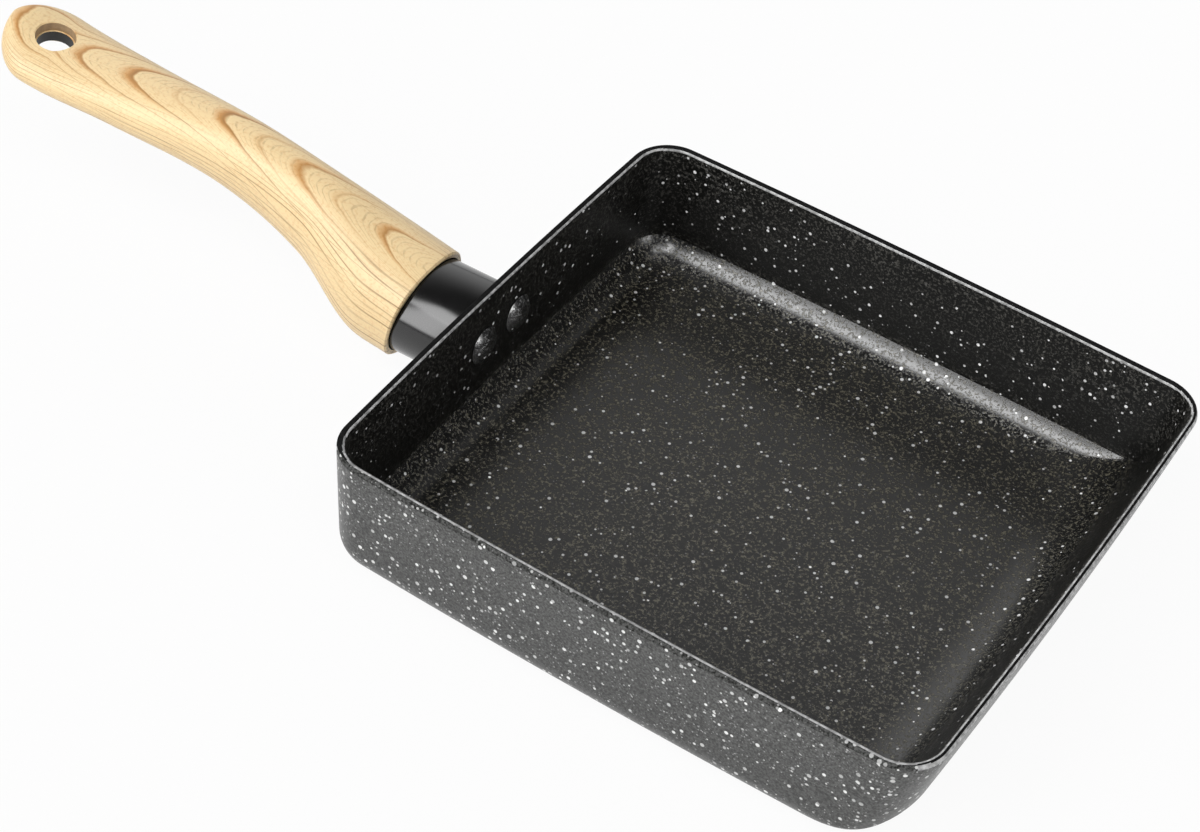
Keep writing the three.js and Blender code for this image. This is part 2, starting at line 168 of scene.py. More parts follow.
def loft(rings, capped):
    """Points and faces of a skin over rings with equal counts, capped at both ends or closed end to end."""
    count = len(rings[0])
    points = [p for ring in rings for p in ring]
    faces = []
    spans = len(rings) - 1 if capped else len(rings)
    for k in range(spans):
        for i in range(count):
            a = k * count + i
            b = k * count + (i + 1) % count
            up = ((k + 1) % len(rings)) * count
            faces.append((a, b, up + (i + 1) % count, up + i))
    if capped:
        faces.append(tuple(range(count - 1, -1, -1)))
        last = (len(rings) - 1) * count
        faces.append(tuple(range(last, last + count)))
    return points, faces


def oval_ring(half_width, half_height, along, place):
    ring = []
    for i in range(OVAL_STEPS):
        angle = 2 * math.pi * i / OVAL_STEPS
        ring.append(place @ Vector((half_width * math.cos(angle), half_height * math.sin(angle), along)))
    return ring


def turned(profile, place):
    """Points and faces of a profile of (radius, along) turned about the place's z axis."""
    points = []
    faces = []
    for radius, along in profile:
        for i in range(ROUND_STEPS):
            angle = 2 * math.pi * i / ROUND_STEPS
            points.append(place @ Vector((radius * math.cos(angle), radius * math.sin(angle), along)))
    for k in range(len(profile) - 1):
        for i in range(ROUND_STEPS):
            a = k * ROUND_STEPS + i
            b = k * ROUND_STEPS + (i + 1) % ROUND_STEPS
            faces.append((a, b, b + ROUND_STEPS, a + ROUND_STEPS))
    faces.append(tuple(range(ROUND_STEPS - 1, -1, -1)))
    last = (len(profile) - 1) * ROUND_STEPS
    faces.append(tuple(range(last, last + ROUND_STEPS)))
    return points, faces


def frame_at(origin, across, up, along):
    place = Matrix((across, up, along)).transposed().to_4x4()
    place.translation = origin
    return place


def outward(piece):
    """Turns the faces of a closed piece outward."""
    made = bmesh.new()
    made.from_mesh(piece.data)
    bmesh.ops.recalc_face_normals(made, faces=made.faces)
    made.to_mesh(piece.data)
    made.free()


def cut(piece, cutter):
    """Takes the cutter out of the piece and throws the cutter away."""
    modifier = piece.modifiers.new("cut", "BOOLEAN")
    modifier.object = cutter
    modifier.operation = "DIFFERENCE"
    modifier.solver = "EXACT"
    modifier.material_mode = "INDEX"
    graph = bpy.context.evaluated_depsgraph_get()
    result = bpy.data.meshes.new_from_object(piece.evaluated_get(graph))
    piece.modifiers.remove(modifier)
    piece.data = result
    bpy.data.objects.remove(cutter)


# Shader helpers

# Sockets of the mix node that carry colours
MIX_FIRST, MIX_SECOND, MIX_RESULT = 6, 7, 2


class Nodes:
    """A node tree under construction: adds nodes and joins their sockets."""

    def __init__(self, tree):
        self.tree = tree

    def node(self, kind, **settings):
        made = self.tree.nodes.new(kind)
        for key, value in settings.items():
            setattr(made, key, value)
        return made

    def put(self, socket, value):
        if isinstance(value, bpy.types.NodeSocket):
            self.tree.links.new(value, socket)
        else:
            socket.default_value = value

    def math(self, operation, *values, clamp=False):
        made = self.node("ShaderNodeMath", operation=operation, use_clamp=clamp)
        for socket, value in zip(made.inputs, values):
            self.put(socket, value)
        return made.outputs[0]

    def scaled(self, value, by, plus):
        return self.math("MULTIPLY_ADD", value, by, plus)

    def ramp_between(self, value, low, high):
        """A smooth step from 0 at low to 1 at high, whichever of them is the greater."""
        made = self.node("ShaderNodeMapRange", interpolation_type="SMOOTHSTEP")
        self.put(made.inputs["Value"], value)
        self.put(made.inputs["From Min"], low)
        self.put(made.inputs["From Max"], high)
        return made.outputs["Result"]


class Shader(Nodes):
    """A material under construction."""

    def __init__(self, name):
        self.material = bpy.data.materials.new(name)
        self.material.use_nodes = True
        super().__init__(self.material.node_tree)
        self.surface = self.tree.nodes["Principled BSDF"]

    def mix(self, factor, first, second):
        made = self.node("ShaderNodeMix", data_type="RGBA")
        self.put(made.inputs["Factor"], factor)
        self.put(made.inputs[MIX_FIRST], first)
        self.put(made.inputs[MIX_SECOND], second)
        return made.outputs[MIX_RESULT]

    def height(self, where):
        parts = self.node("ShaderNodeSeparateXYZ")
        self.put(parts.inputs[0], where)
        return parts.outputs[2]

    def place(self):
        return self.node("ShaderNodeTexCoord").outputs["Object"]

    def stretch(self, vector, scale):
        made = self.node("ShaderNodeMapping")
        self.put(made.inputs["Vector"], vector)
        made.inputs["Scale"].default_value = scale
        return made.outputs["Vector"]

    def noise(self, vector, size, detail=2.0, roughness=0.5):
        """Noise whose features are about size across, in the vector's own unit."""
        made = self.node("ShaderNodeTexNoise")
        self.put(made.inputs["Vector"], vector)
        self.put(made.inputs["Scale"], 1 / size)
        self.put(made.inputs["Detail"], detail)
        self.put(made.inputs["Roughness"], roughness)
        return made.outputs["Fac"]

    def specks(self, vector, cell, smallest, largest, share, softness, dimmest):
        """A mask of round specks, one at most to a cell. Radii are shares of the cell."""
        cells = self.node("ShaderNodeTexVoronoi", feature="F1")
        self.put(cells.inputs["Vector"], vector)
        self.put(cells.inputs["Scale"], 1 / cell)
        parts = self.node("ShaderNodeSeparateColor")
        self.put(parts.inputs[0], cells.outputs["Color"])
        radius = self.scaled(parts.outputs[0], by=largest - smallest, plus=smallest)
        chosen = self.math("LESS_THAN", parts.outputs[1], share)
        edge = self.math("SUBTRACT", radius, cells.outputs["Distance"])
        inside = self.math("DIVIDE", edge, softness, clamp=True)
        bright = self.scaled(parts.outputs[2], by=1 - dimmest, plus=dimmest)
        return self.math("MULTIPLY", self.math("MULTIPLY", inside, chosen), bright)

    def bump(self, height, distance, strength):
        made = self.node("ShaderNodeBump")
        self.put(made.inputs["Height"], height)
        made.inputs["Distance"].default_value = distance
        made.inputs["Strength"].default_value = strength
        self.tree.links.new(made.outputs["Normal"], self.surface.inputs["Normal"])

    def set(self, **values):
        for key, value in values.items():
            self.put(self.surface.inputs[key.replace("_", " ")], value)


def grey(level):
    return (level, level, level, 1)


# Colours. A pair is the dark and the light between which grain or haze varies.
# The outer wall's colour runs from the first pair at its foot to the second at its rim: painted shade low
# down, painted light towards the rim.
SHADED_WALL_FOOT = ((0.009, 0.009, 0.008, 1), (0.068, 0.069, 0.067, 1))
LIT_WALL_TOP = ((0.014, 0.014, 0.013, 1), (0.106, 0.107, 0.104, 1))
OUTER_SPECK = (0.88, 0.88, 0.87, 1)
OUTER_FAINT_SPECK = grey(0.6)
FLOOR_COAT = ((0.003, 0.003, 0.0026, 1), (0.101, 0.0935, 0.068, 1))
INNER_WALL_COAT = ((0.003, 0.003, 0.0026, 1), (0.16, 0.155, 0.14, 1))
RIVET_COAT = ((0.006, 0.006, 0.006, 1), (0.2, 0.2, 0.195, 1))
INNER_SPECK = grey(0.97)
INNER_FAINT_SPECK = grey(0.22)
# Painted highlight on the lip
PAINTED_HIGHLIGHT_GREYS = (grey(0.22), grey(0.55))
LIP_DARK = (grey(0.004), grey(0.02))
WOOD_CREAM = (0.89, 0.68, 0.38, 1)
WOOD_WARM = (0.64, 0.31, 0.09, 1)
WOOD_STREAK = (0.58, 0.36, 0.15, 1)
WOOD_LINE = (0.32, 0.16, 0.05, 1)
# Painted shade on the upper wall of the hanging hole
SHADED_BORE_WOOD = ((0.24, 0.15, 0.075, 1), (0.52, 0.36, 0.2, 1))
MOULDING_BLACK = (grey(0.006), grey(0.024))
ENAMEL_BLACK = (grey(0.004), grey(0.009))
PLATING = ((0.5, 0.5, 0.51, 1), (0.66, 0.66, 0.65, 1))

# How far the small specks hide the coat under them
SMALL_SPECK_COVER = 0.5


# Looks. Noise and specks at a place on the object, heights and bumps are in metres.

def outer_coating(name, ior):
    """Dark grey coat with white specks in loose drifts, with painted shade at the foot of the wall and
    painted light making it paler towards the rim.
    """
    shader = Shader(name)
    where = shader.place()
    drifts = shader.ramp_between(shader.noise(where, size=0.007, detail=3.0), low=0.35, high=0.62)
    share = shader.scaled(drifts, by=0.55, plus=0.58)
    large = shader.specks(
        where, cell=0.0021, smallest=0.12, largest=0.36, share=share, softness=0.07, dimmest=0.35)
    share = shader.scaled(drifts, by=0.4, plus=0.5)
    small = shader.specks(
        where, cell=0.0011, smallest=0.14, largest=0.34, share=share, softness=0.09, dimmest=0.3)
    grain = shader.ramp_between(shader.noise(where, size=0.0007, roughness=0.6), low=0.3, high=0.7)
    foot = shader.mix(grain, *SHADED_WALL_FOOT)
    top = shader.mix(grain, *LIT_WALL_TOP)
    # Painted shade at the foot of the wall fading into painted light towards the rim
    base = shader.mix(shader.ramp_between(shader.height(where), low=0.004, high=0.042), foot, top)
    faint = shader.mix(shader.math("MULTIPLY", small, SMALL_SPECK_COVER), base, OUTER_FAINT_SPECK)
    colour = shader.mix(large, faint, OUTER_SPECK)
    shader.set(Base_Color=colour, Roughness=0.36, IOR=ior)
    shader.bump(grain, distance=0.0001, strength=0.12)
    return shader.material


def inner_coating(name, coat, roughness, ior, shine):
    """Black coat with white specks and a pale grain; painted shade hides the grain on the walls, most low
    down and less towards the rim.
    """
    shader = Shader(name)
    where = shader.place()
    drifts = shader.ramp_between(shader.noise(where, size=0.009), low=0.3, high=0.65)
    on_wall = shader.ramp_between(shader.height(where), low=0.0075, high=0.014)
    sparse = shader.scaled(on_wall, by=-0.2, plus=1)
    share = shader.math("MULTIPLY", shader.scaled(drifts, by=0.4, plus=0.24), sparse)
    large = shader.specks(
        where, cell=0.0022, smallest=0.08, largest=0.28, share=share, softness=0.05, dimmest=0.4)
    share = shader.scaled(drifts, by=0.3, plus=0.4)
    small = shader.specks(
        where, cell=0.0012, smallest=0.1, largest=0.3, share=share, softness=0.1, dimmest=0.2)
    noise = shader.noise(where, size=0.0009, detail=3.0, roughness=0.75)
    grain = shader.ramp_between(noise, low=0.5, high=0.65)
    # Painted shade on the walls: it hides most of the pale grain low on the walls and lifts towards the rim
    towards_rim = shader.ramp_between(shader.height(where), low=0.012, high=0.044)
    painted_wall_shade = shader.math("MULTIPLY", on_wall, shader.scaled(towards_rim, by=-0.5, plus=0.9))
    unshaded = shader.math("SUBTRACT", 1, painted_wall_shade)
    base = shader.mix(shader.math("MULTIPLY", grain, unshaded), *coat)
    faint = shader.mix(shader.math("MULTIPLY", small, SMALL_SPECK_COVER), base, INNER_FAINT_SPECK)
    colour = shader.mix(large, faint, INNER_SPECK)
    duller = shader.scaled(on_wall, by=0.12, plus=roughness)
    shader.set(Base_Color=colour, Roughness=duller, IOR=ior, Specular_IOR_Level=shine)
    shader.bump(grain, distance=0.00015, strength=0.4)
    return shader.material


def lip_shade():
    shader = Shader("lip_shade")
    haze = shader.noise(shader.place(), size=0.001)
    shader.set(Base_Color=shader.mix(haze, *LIP_DARK), Roughness=0.6, Specular_IOR_Level=0)
    return shader.material


# Painted highlight along the lip, and on the far side's outer edge a painted reflection: a pale grey in
# place of the glint
def painted_lip_highlight():
    shader = Shader("painted_lip_highlight")
    haze = shader.ramp_between(shader.noise(shader.place(), size=0.0015, detail=3.0), low=0.3, high=0.7)
    shader.set(Base_Color=shader.mix(haze, *PAINTED_HIGHLIGHT_GREYS), Roughness=0.4)
    return shader.material


# Wood-look film: arched grain lines by the place of each tip along the grip, in millimetres, with its
# strength and the width of its soft side. The first list shows on top, the second continues underneath.
TOP_RINGS = [
    (17, 0.8, 7), (33, 0.4, 5), (47, 0.85, 8), (62, 0.35, 5), (75, 1.0, 9),
    (92, 0.3, 6), (108.5, 1.0, 10), (126, 0.85, 8), (138, 0.6, 6), (149, 0.85, 7),
]
UNDER_RINGS = [
    (160, 0.5, 6), (169, 0.8, 7), (181, 0.5, 6), (193, 0.8, 8), (206, 0.5, 7), (221, 0.8, 8), (238, 0.6, 8),
]
RING_SPAN = 260
RING_EDGE = 0.5
ARM_REACH = 0.2
TIP_REACH = 0.6
ARCH_POWER = 1.75
ARCH_DEPTH = 0.034
HALO = 1.25
RIDGE_TURN = 92
FLANK_PITCH = 8
FLANK_DRIFT = 2.4
FLANK_STRETCH = (4, 12, 1)
FINE_PITCH = 2.7
FIBRE_STRETCH = (8, 110, 1)
STREAK_COVER = 0.5
MOTTLE_COVER = 0.28
# Length of grip that fills the map of its skin, in millimetres
UNROLLED_LENGTH = 200


def ring_ramp(shader, value, rings, reach):
    """Darkness of the grain lines. Each falls off over its width times reach on the side of the tail."""
    ramp = shader.node("ShaderNodeValToRGB")
    shader.put(ramp.inputs["Fac"], shader.math("DIVIDE", value, RING_SPAN))
    stops = ramp.color_ramp.elements
    stops[0].position = 0
    stops[0].color = grey(0)
    stops[1].position = 1
    stops[1].color = grey(0)
    for tip, strength, width in rings:
        for at, level in ((tip - RING_EDGE, 0), (tip, strength), (tip + width * reach, 0)):
            stops.new(at / RING_SPAN).color = grey(level)
    return ramp.outputs["Color"]


def fine_lines(shader, levels, mask, strength):
    """A thin line midway between whole levels, as strong as the mask lets it be."""
    apart = shader.math("ABSOLUTE", shader.math("SUBTRACT", shader.math("FRACT", levels), 0.5))
    line = shader.ramp_between(apart, low=0.16, high=0.04)
    return shader.math("MULTIPLY", shader.math("MULTIPLY", line, mask), strength)


def wood_look():
    shader = Shader("wood_look")
    unrolled = shader.node("ShaderNodeUVMap", uv_map="unrolled").outputs["UV"]
    parts = shader.node("ShaderNodeSeparateXYZ")
    shader.put(parts.inputs[0], unrolled)
    where = shader.place()

    # Millimetres along the grip, and degrees off its ridge with a blunt tip towards the tail
    along = shader.math("MULTIPLY", parts.outputs[0], UNROLLED_LENGTH)
    turn = shader.scaled(parts.outputs[1], by=360, plus=-90)
    sway = shader.scaled(shader.noise(where, size=0.06, detail=1.0), by=44, plus=-22)
    aside = shader.math("SUBTRACT", shader.math("ADD", turn, sway), RIDGE_TURN)
    narrow = shader.scaled(shader.ramp_between(along, low=45, high=5), by=0.8, plus=1.0)
    blunt = shader.scaled(shader.ramp_between(along, low=132, high=148), by=26, plus=3)
    across = shader.math("MULTIPLY", aside, narrow)
    across_square = shader.math("MULTIPLY", across, across)
    blunt_square = shader.math("MULTIPLY", blunt, blunt)
    slant = shader.math("SQRT", shader.math("ADD", across_square, blunt_square))
    off = shader.math("MAXIMUM", shader.math("SUBTRACT", slant, blunt), 0)

    # Arched lines, with a warm halo at their tips
    drop = shader.math("MULTIPLY", shader.math("POWER", off, ARCH_POWER), ARCH_DEPTH)
    wander = shader.scaled(shader.noise(where, size=0.012, detail=3.0), by=7, plus=-3.5)
    ring = shader.math("ADD", shader.math("ADD", along, drop), wander)
    top_lines = ring_ramp(shader, ring, TOP_RINGS, ARM_REACH)
    under_lines = ring_ramp(shader, ring, UNDER_RINGS, ARM_REACH)
    patchy = shader.scaled(shader.noise(where, size=0.008), by=1.3, plus=0.05)
    lines = shader.math("MULTIPLY", shader.math("ADD", top_lines, under_lines), patchy, clamp=True)
    near_tip = shader.ramp_between(off, low=55, high=8)
    tips = shader.math("MULTIPLY", ring_ramp(shader, ring, TOP_RINGS, TIP_REACH), near_tip)
    halo = shader.math("MULTIPLY", tips, HALO)

    # Straight lines on the flanks and fine ones between the arches
    flank = shader.stretch(unrolled, FLANK_STRETCH)
    drift = shader.math("MULTIPLY", shader.noise(flank, size=1.0), FLANK_DRIFT)
    on_flank = shader.ramp_between(off, low=25, high=60)
    flank_levels = shader.scaled(turn, by=1 / FLANK_PITCH, plus=drift)
    flank_lines = fine_lines(shader, flank_levels, on_flank, strength=0.85)
    between = fine_lines(shader, shader.math("DIVIDE", ring, FINE_PITCH), patchy, strength=0.4)

    # Fibres and mottle, then the colours
    fibres = shader.stretch(unrolled, FIBRE_STRETCH)
    streak = shader.ramp_between(shader.noise(fibres, size=1.0, detail=3.0), low=0.56, high=0.78)
    mottle = shader.ramp_between(shader.noise(where, size=0.0009), low=0.45, high=0.75)
    warm = shader.math("MULTIPLY_ADD", mottle, MOTTLE_COVER, halo, clamp=True)
    cream = shader.mix(warm, WOOD_CREAM, WOOD_WARM)
    grained = shader.mix(shader.math("MULTIPLY", streak, STREAK_COVER), cream, WOOD_STREAK)
    broken = shader.ramp_between(shader.noise(fibres, size=2.5), low=0.35, high=0.65)
    thin_lines = shader.math("MULTIPLY", shader.math("MAXIMUM", flank_lines, between), broken)
    all_lines = shader.math("MAXIMUM", lines, thin_lines)
    colour = shader.mix(all_lines, grained, WOOD_LINE)
    shader.set(Base_Color=colour, Roughness=0.45, Coat_Weight=0.15, Coat_Roughness=0.3)
    shader.bump(streak, distance=0.0001, strength=0.1)
    return shader.material


# Upper wall of the hanging hole: a tan much darker than the grip's film, painted shade of the hole
def shaded_bore_wall():
    shader = Shader("shaded_bore_wall")
    mottle = shader.noise(shader.place(), size=0.0012, detail=3.0)
    shader.set(Base_Color=shader.mix(mottle, *SHADED_BORE_WOOD), Roughness=0.5)
    return shader.material


def dark_moulding():
    shader = Shader("dark_moulding")
    mottle = shader.noise(shader.place(), size=0.0015)
    shader.set(Base_Color=shader.mix(mottle, *MOULDING_BLACK), Roughness=0.5)
    shader.bump(mottle, distance=0.0001, strength=0.2)
    return shader.material


def gloss_black():
    shader = Shader("gloss_black")
    where = shader.place()
    mottle = shader.noise(where, size=0.004)
    colour = shader.mix(mottle, *ENAMEL_BLACK)
    shader.set(Base_Color=colour, Roughness=0.16, IOR=1.6, Specular_IOR_Level=0.55)
    shader.bump(shader.noise(where, size=0.003, detail=1.0), distance=0.0001, strength=0.03)
    return shader.material


def plated_steel():
    shader = Shader("plated_steel")
    haze = shader.noise(shader.place(), size=0.002, detail=3.0)
    shader.set(Base_Color=shader.mix(haze, *PLATING))
    shader.set(Metallic=1.0, Roughness=shader.scaled(haze, by=0.25, plus=0.25))
    return shader.material


OUTER = outer_coating("outer_coating", ior=1.5)
INNER = inner_coating("inner_coating", FLOOR_COAT, roughness=0.22, ior=1.55, shine=0.9)
RIVET = inner_coating("rivet_coating", RIVET_COAT, roughness=0.12, ior=1.9, shine=1.0)
LIP_HIGHLIGHT = painted_lip_highlight()
EDGE = outer_coating("lip_edge", ior=1.05)
WOOD = wood_look()
SHADED_BORE = shaded_bore_wall()
MOULDING = dark_moulding()
BLACK = gloss_black()
STEEL = plated_steel()
SHADE = lip_shade()
INNER_WALL = inner_coating("inner_wall", INNER_WALL_COAT, roughness=0.22, ior=1.42, shine=0.5)
PAN_LOOKS = [OUTER, INNER, LIP_HIGHLIGHT, EDGE, SHADE, INNER_WALL]
OUTER_AT, INNER_AT, LIP_HIGHLIGHT_AT, EDGE_AT, SHADE_AT, INNER_WALL_AT = range(len(PAN_LOOKS))
GRIP_LOOKS = [WOOD, MOULDING, SHADED_BORE]
WOOD_AT, MOULDING_AT, SHADED_BORE_AT = range(len(GRIP_LOOKS))


# Pan body

def wall_section(draft, fillet, end, floor, top_inset):
    """One wall from the floor up: (inset, height, how far the fillet has turned in).

    The fillet meets the wall at the end angle: without a crease where that is the draft itself.
    """
    fillet_top = floor + fillet * (1 - math.sin(end))
    fillet_inset = top_inset + (LIP_BASE - fillet_top) * math.tan(draft)
    section = []
    for k in range(FILLET_STEPS, -1, -1):
        angle = end + (math.pi / 2 - end) * k / FILLET_STEPS
        turn = fillet * (math.cos(end) - math.cos(angle))
        section.append((fillet_inset + turn, floor + fillet * (1 - math.sin(angle)), turn))
    for k in range(1, WALL_STEPS + 1):
        share = k / WALL_STEPS
        inset = fillet_inset + (top_inset - fillet_inset) * share
        section.append((inset, fillet_top + (LIP_BASE - fillet_top) * share, 0))
    return section


def corner_radii(rim_radius, far, side, floor):
    """Radii of the four corners: tighter towards the base at the handle end, wider at the far end."""
    depth = 1 - (far[1] - floor) / (LIP_BASE - floor)
    handle_end = max(rim_radius - side[2], LEAST_CORNER)
    far_end = rim_radius + (FAR_BASE_CORNER - CORNER_RADIUS) * depth ** 2
    return [far_end, handle_end, handle_end, far_end]


def pan_ring(far, side, radii):
    """One ring round the pan, counter-clockwise from the far wall. far and side are (inset, height)."""
    x_far = RIM_LENGTH / 2 - far[0]
    x_near = -(RIM_LENGTH / 2 - side[0])
    y_side = RIM_WIDTH / 2 - side[0]
    heights = [far[1], side[1], side[1], side[1], far[1]]
    reach = [(x_far, y_side), (x_near, y_side), (x_near, -y_side), (x_far, -y_side)]
    centres = [(x - math.copysign(r, x), y - math.copysign(r, y)) for (x, y), r in zip(reach, radii)]
    ring = []
    for corner in range(4):
        cx, cy = centres[corner]
        radius = radii[corner]
        before, after = heights[corner], heights[corner + 1]
        for i in range(CORNER_STEPS + 1):
            share = i / CORNER_STEPS
            angle = math.pi / 2 * (corner + share)
            z = before + (after - before) * share * share * (3 - 2 * share)
            ring.append(Vector((cx + radius * math.cos(angle), cy + radius * math.sin(angle), z)))
        start = ring[-1]
        following = (corner + 1) % 4
        facing = Vector((math.cos(math.pi / 2 * following), math.sin(math.pi / 2 * following), 0))
        end = Vector((*centres[following], after)) + facing * radii[following]
        for i in range(1, SIDE_STEPS):
            share = i / SIDE_STEPS
            crown = SIDE_CROWN * (1 - (2 * share - 1) ** 2)
            ring.append(start.lerp(end, share) + facing * crown)
    return ring


# Keeps the division in lip_bands from failing away from the corners
LEAST_BEYOND = 1e-9


def lip_bands(centre):
    """Rings where the painted shade band, the painted highlight line and the inside start at this point of
    the rim.

    The last value is the look of the lip outside the shade band: on the far side the painted highlight
    material, which there stands for a painted reflection, and elsewhere the edge coat.
    """
    beyond_x = max(abs(centre.x) - (RIM_LENGTH / 2 - CORNER_RADIUS), 0)
    beyond_y = max(abs(centre.y) - (RIM_WIDTH / 2 - CORNER_RADIUS), 0)
    total = max(beyond_x ** 2 + beyond_y ** 2, LEAST_BEYOND)
    along_x = LIP_FAR if centre.x > 0 else LIP_HANDLE
    along_y = LIP_BACK if centre.y > 0 else LIP_NEAR
    share = beyond_x ** 2 / total
    bands = [round(a * share + b * (1 - share)) for a, b in zip(along_x, along_y)]
    return (*bands, LIP_HIGHLIGHT_AT if share > 0.5 else EDGE_AT)


def make_pan():
    rings = []
    outer_far = wall_section(FAR_DRAFT, FAR_FILLET, FAR_DRAFT, 0, 0)
    outer_side = wall_section(SIDE_DRAFT, SIDE_FILLET, SIDE_DRAFT, 0, 0)
    for far, side in zip(outer_far, outer_side):
        rings.append(pan_ring(far, side, corner_radii(CORNER_RADIUS, far, side, 0)))
    lip_start = len(rings) - 1
    for k in range(1, LIP_STEPS):
        angle = math.pi * k / LIP_STEPS
        level = (LIP_RADIUS * (1 - math.cos(angle)), LIP_BASE + LIP_RADIUS * math.sin(angle))
        rings.append(pan_ring(level, level, [CORNER_RADIUS - level[0]] * 4))
    inner_far = wall_section(FAR_DRAFT, INNER_FAR_FILLET, FAR_DRAFT, FLOOR, WALL)
    inner_side = wall_section(SIDE_DRAFT, INNER_SIDE_FILLET, INNER_CREASE, FLOOR, WALL)
    for far, side in zip(reversed(inner_far), reversed(inner_side)):
        rings.append(pan_ring(far, side, corner_radii(CORNER_RADIUS - WALL, far, side, FLOOR)))
    points, faces = loft(rings, True)
    piece = new_piece("pan_shell", points, faces, PAN_LOOKS)
    count = len(rings[0])
    for face in piece.data.polygons:
        ring = min(face.vertices) // count - lip_start
        shade, line, inside, edge = lip_bands(face.center / MM)
        # Lip faces: painted shade band, painted highlight line, and outside the band the edge coat or, on
        # the far side, a painted reflection
        if ring >= LIP_STEPS + WALL_STEPS:
            face.material_index = INNER_AT
        elif ring >= inside:
            face.material_index = INNER_WALL_AT
        elif ring >= line:
            face.material_index = LIP_HIGHLIGHT_AT
        elif ring >= shade:
            face.material_index = SHADE_AT
        elif ring >= 0:
            face.material_index = edge
        else:
            face.material_index = OUTER_AT
    outward(piece)
    for side in (-1, 1):
        shank = RIVET_SHANK + CLEARANCE
        points, faces = turned([(shank, -2 * WALL), (shank, WALL)], rivet_place(side))
        cutter = new_piece("rivet_cutter", points, faces, PAN_LOOKS)
        outward(cutter)
        cut(piece, cutter)
    smooth(piece, sharp_over=24)
    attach(piece, "root")
    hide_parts("pan_body")


# Frames of the handle

LATERAL = Vector((0, 1, 0))
ACROSS = -LATERAL
FERRULE_OUT = Vector((-math.cos(SIDE_DRAFT), 0, -math.sin(SIDE_DRAFT)))
FERRULE_UP = Vector((-math.sin(SIDE_DRAFT), 0, math.cos(SIDE_DRAFT)))
WALL_INSET = (LIP_BASE - FERRULE_HEIGHT) * math.tan(SIDE_DRAFT)
WALL_POINT = Vector((-(RIM_LENGTH / 2 + SIDE_CROWN - WALL_INSET), 0, FERRULE_HEIGHT))
FERRULE_PLACE = frame_at(WALL_POINT, ACROSS, FERRULE_UP, FERRULE_OUT)
GRIP_OUT = Vector((-math.cos(GRIP_RISE), 0, math.sin(GRIP_RISE)))
GRIP_UP = Vector((math.sin(GRIP_RISE), 0, math.cos(GRIP_RISE)))
GRIP_START = WALL_POINT + FERRULE_OUT * FERRULE_SHOWN
GRIP_PLACE = frame_at(GRIP_START, ACROSS, GRIP_UP, GRIP_OUT)


def make_ferrule():
    start = CLEARANCE
    end = FERRULE_SHOWN + FERRULE_INSERT - CLEARANCE
    falling = [FERRULE_EDGE * (1 - math.sin(angle)) for angle in EDGE_TURNS]
    rising = [FERRULE_EDGE * (1 - math.cos(angle)) for angle in EDGE_TURNS]
    outline = [(inset, start + along) for inset, along in zip(falling, rising)]
    outline += [(inset, end - along) for inset, along in zip(rising, falling)]
    outline += [(FERRULE_WALL, end), (FERRULE_WALL, start)]
    rings = [
        oval_ring(FERRULE_HALF_WIDTH - inset, FERRULE_HALF_HEIGHT - inset, along, FERRULE_PLACE)
        for inset, along in outline
    ]
    points, faces = loft(rings, False)
    piece = new_piece("ferrule_sleeve", points, faces, [BLACK])
    smooth(piece, sharp_over=40)
    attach(piece, "root")
    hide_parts("ferrule")


def rivet_place(side):
    origin = WALL_POINT + FERRULE_UP * RIVET_RISE + LATERAL * (side * RIVET_SPACING / 2)
    return frame_at(origin, ACROSS, FERRULE_UP, FERRULE_OUT)


def make_rivet(name, node, side):
    seat = -WALL - CLEARANCE
    tail = CLEARANCE + FLANGE_THICKNESS + CLEARANCE
    ball = (RIVET_HEAD ** 2 + RIVET_DOME ** 2) / (2 * RIVET_DOME)
    spread = math.asin(RIVET_HEAD / ball)
    profile = []
    for k in range(1, DOME_STEPS + 1):
        angle = spread * k / DOME_STEPS
        profile.append((ball * math.sin(angle), seat - RIVET_DOME + ball * (1 - math.cos(angle))))
    profile += [
        (RIVET_SHANK, seat),
        (RIVET_SHANK, tail),
        (RIVET_TAIL, tail),
        (RIVET_TAIL, tail + RIVET_TAIL_STRAIGHT),
        (RIVET_TAIL_TOP, tail + RIVET_TAIL_HEIGHT),
    ]
    points, faces = turned(profile, rivet_place(side))
    piece = new_piece(name, points, faces, [RIVET])
    smooth(piece, sharp_over=40)
    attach(piece, "root")
    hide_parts(node)


# Grip

STATIONS = [(
    0,
    0,
    FERRULE_HALF_HEIGHT + CLEARANCE + GRIP_LIP,
    FERRULE_HALF_WIDTH + CLEARANCE + GRIP_LIP,
)]
for at, lift, height, width in GRIP_STATIONS:
    STATIONS.append((at, lift * GRIP_ARCH, height * SWELL_HALF_HEIGHT, width * NECK_HALF_WIDTH))
# Places of the measures in a station
LIFT, HALF_HEIGHT, HALF_WIDTH = 1, 2, 3
# Stretches of the hanging hole's profile below and above its ledge
LOWER_BORE, UPPER_BORE = 1, 3


def station_value(measure, share):
    """A smooth curve through one measure of the stations."""
    last = len(STATIONS) - 1
    i = 0
    while i < last - 1 and share > STATIONS[i + 1][0]:
        i += 1

    def slope(k):
        low, high = STATIONS[max(k - 1, 0)], STATIONS[min(k + 1, last)]
        return (high[measure] - low[measure]) / (high[0] - low[0])

    span = STATIONS[i + 1][0] - STATIONS[i][0]
    t = (share - STATIONS[i][0]) / span
    start, end = STATIONS[i][measure], STATIONS[i + 1][measure]
    return (
        start * (1 + 2 * t) * (1 - t) ** 2 + slope(i) * span * t * (1 - t) ** 2
        + end * t * t * (3 - 2 * t) + slope(i + 1) * span * t * t * (t - 1)
    )


def bent(value, power):
    return math.copysign(abs(value) ** power, value)


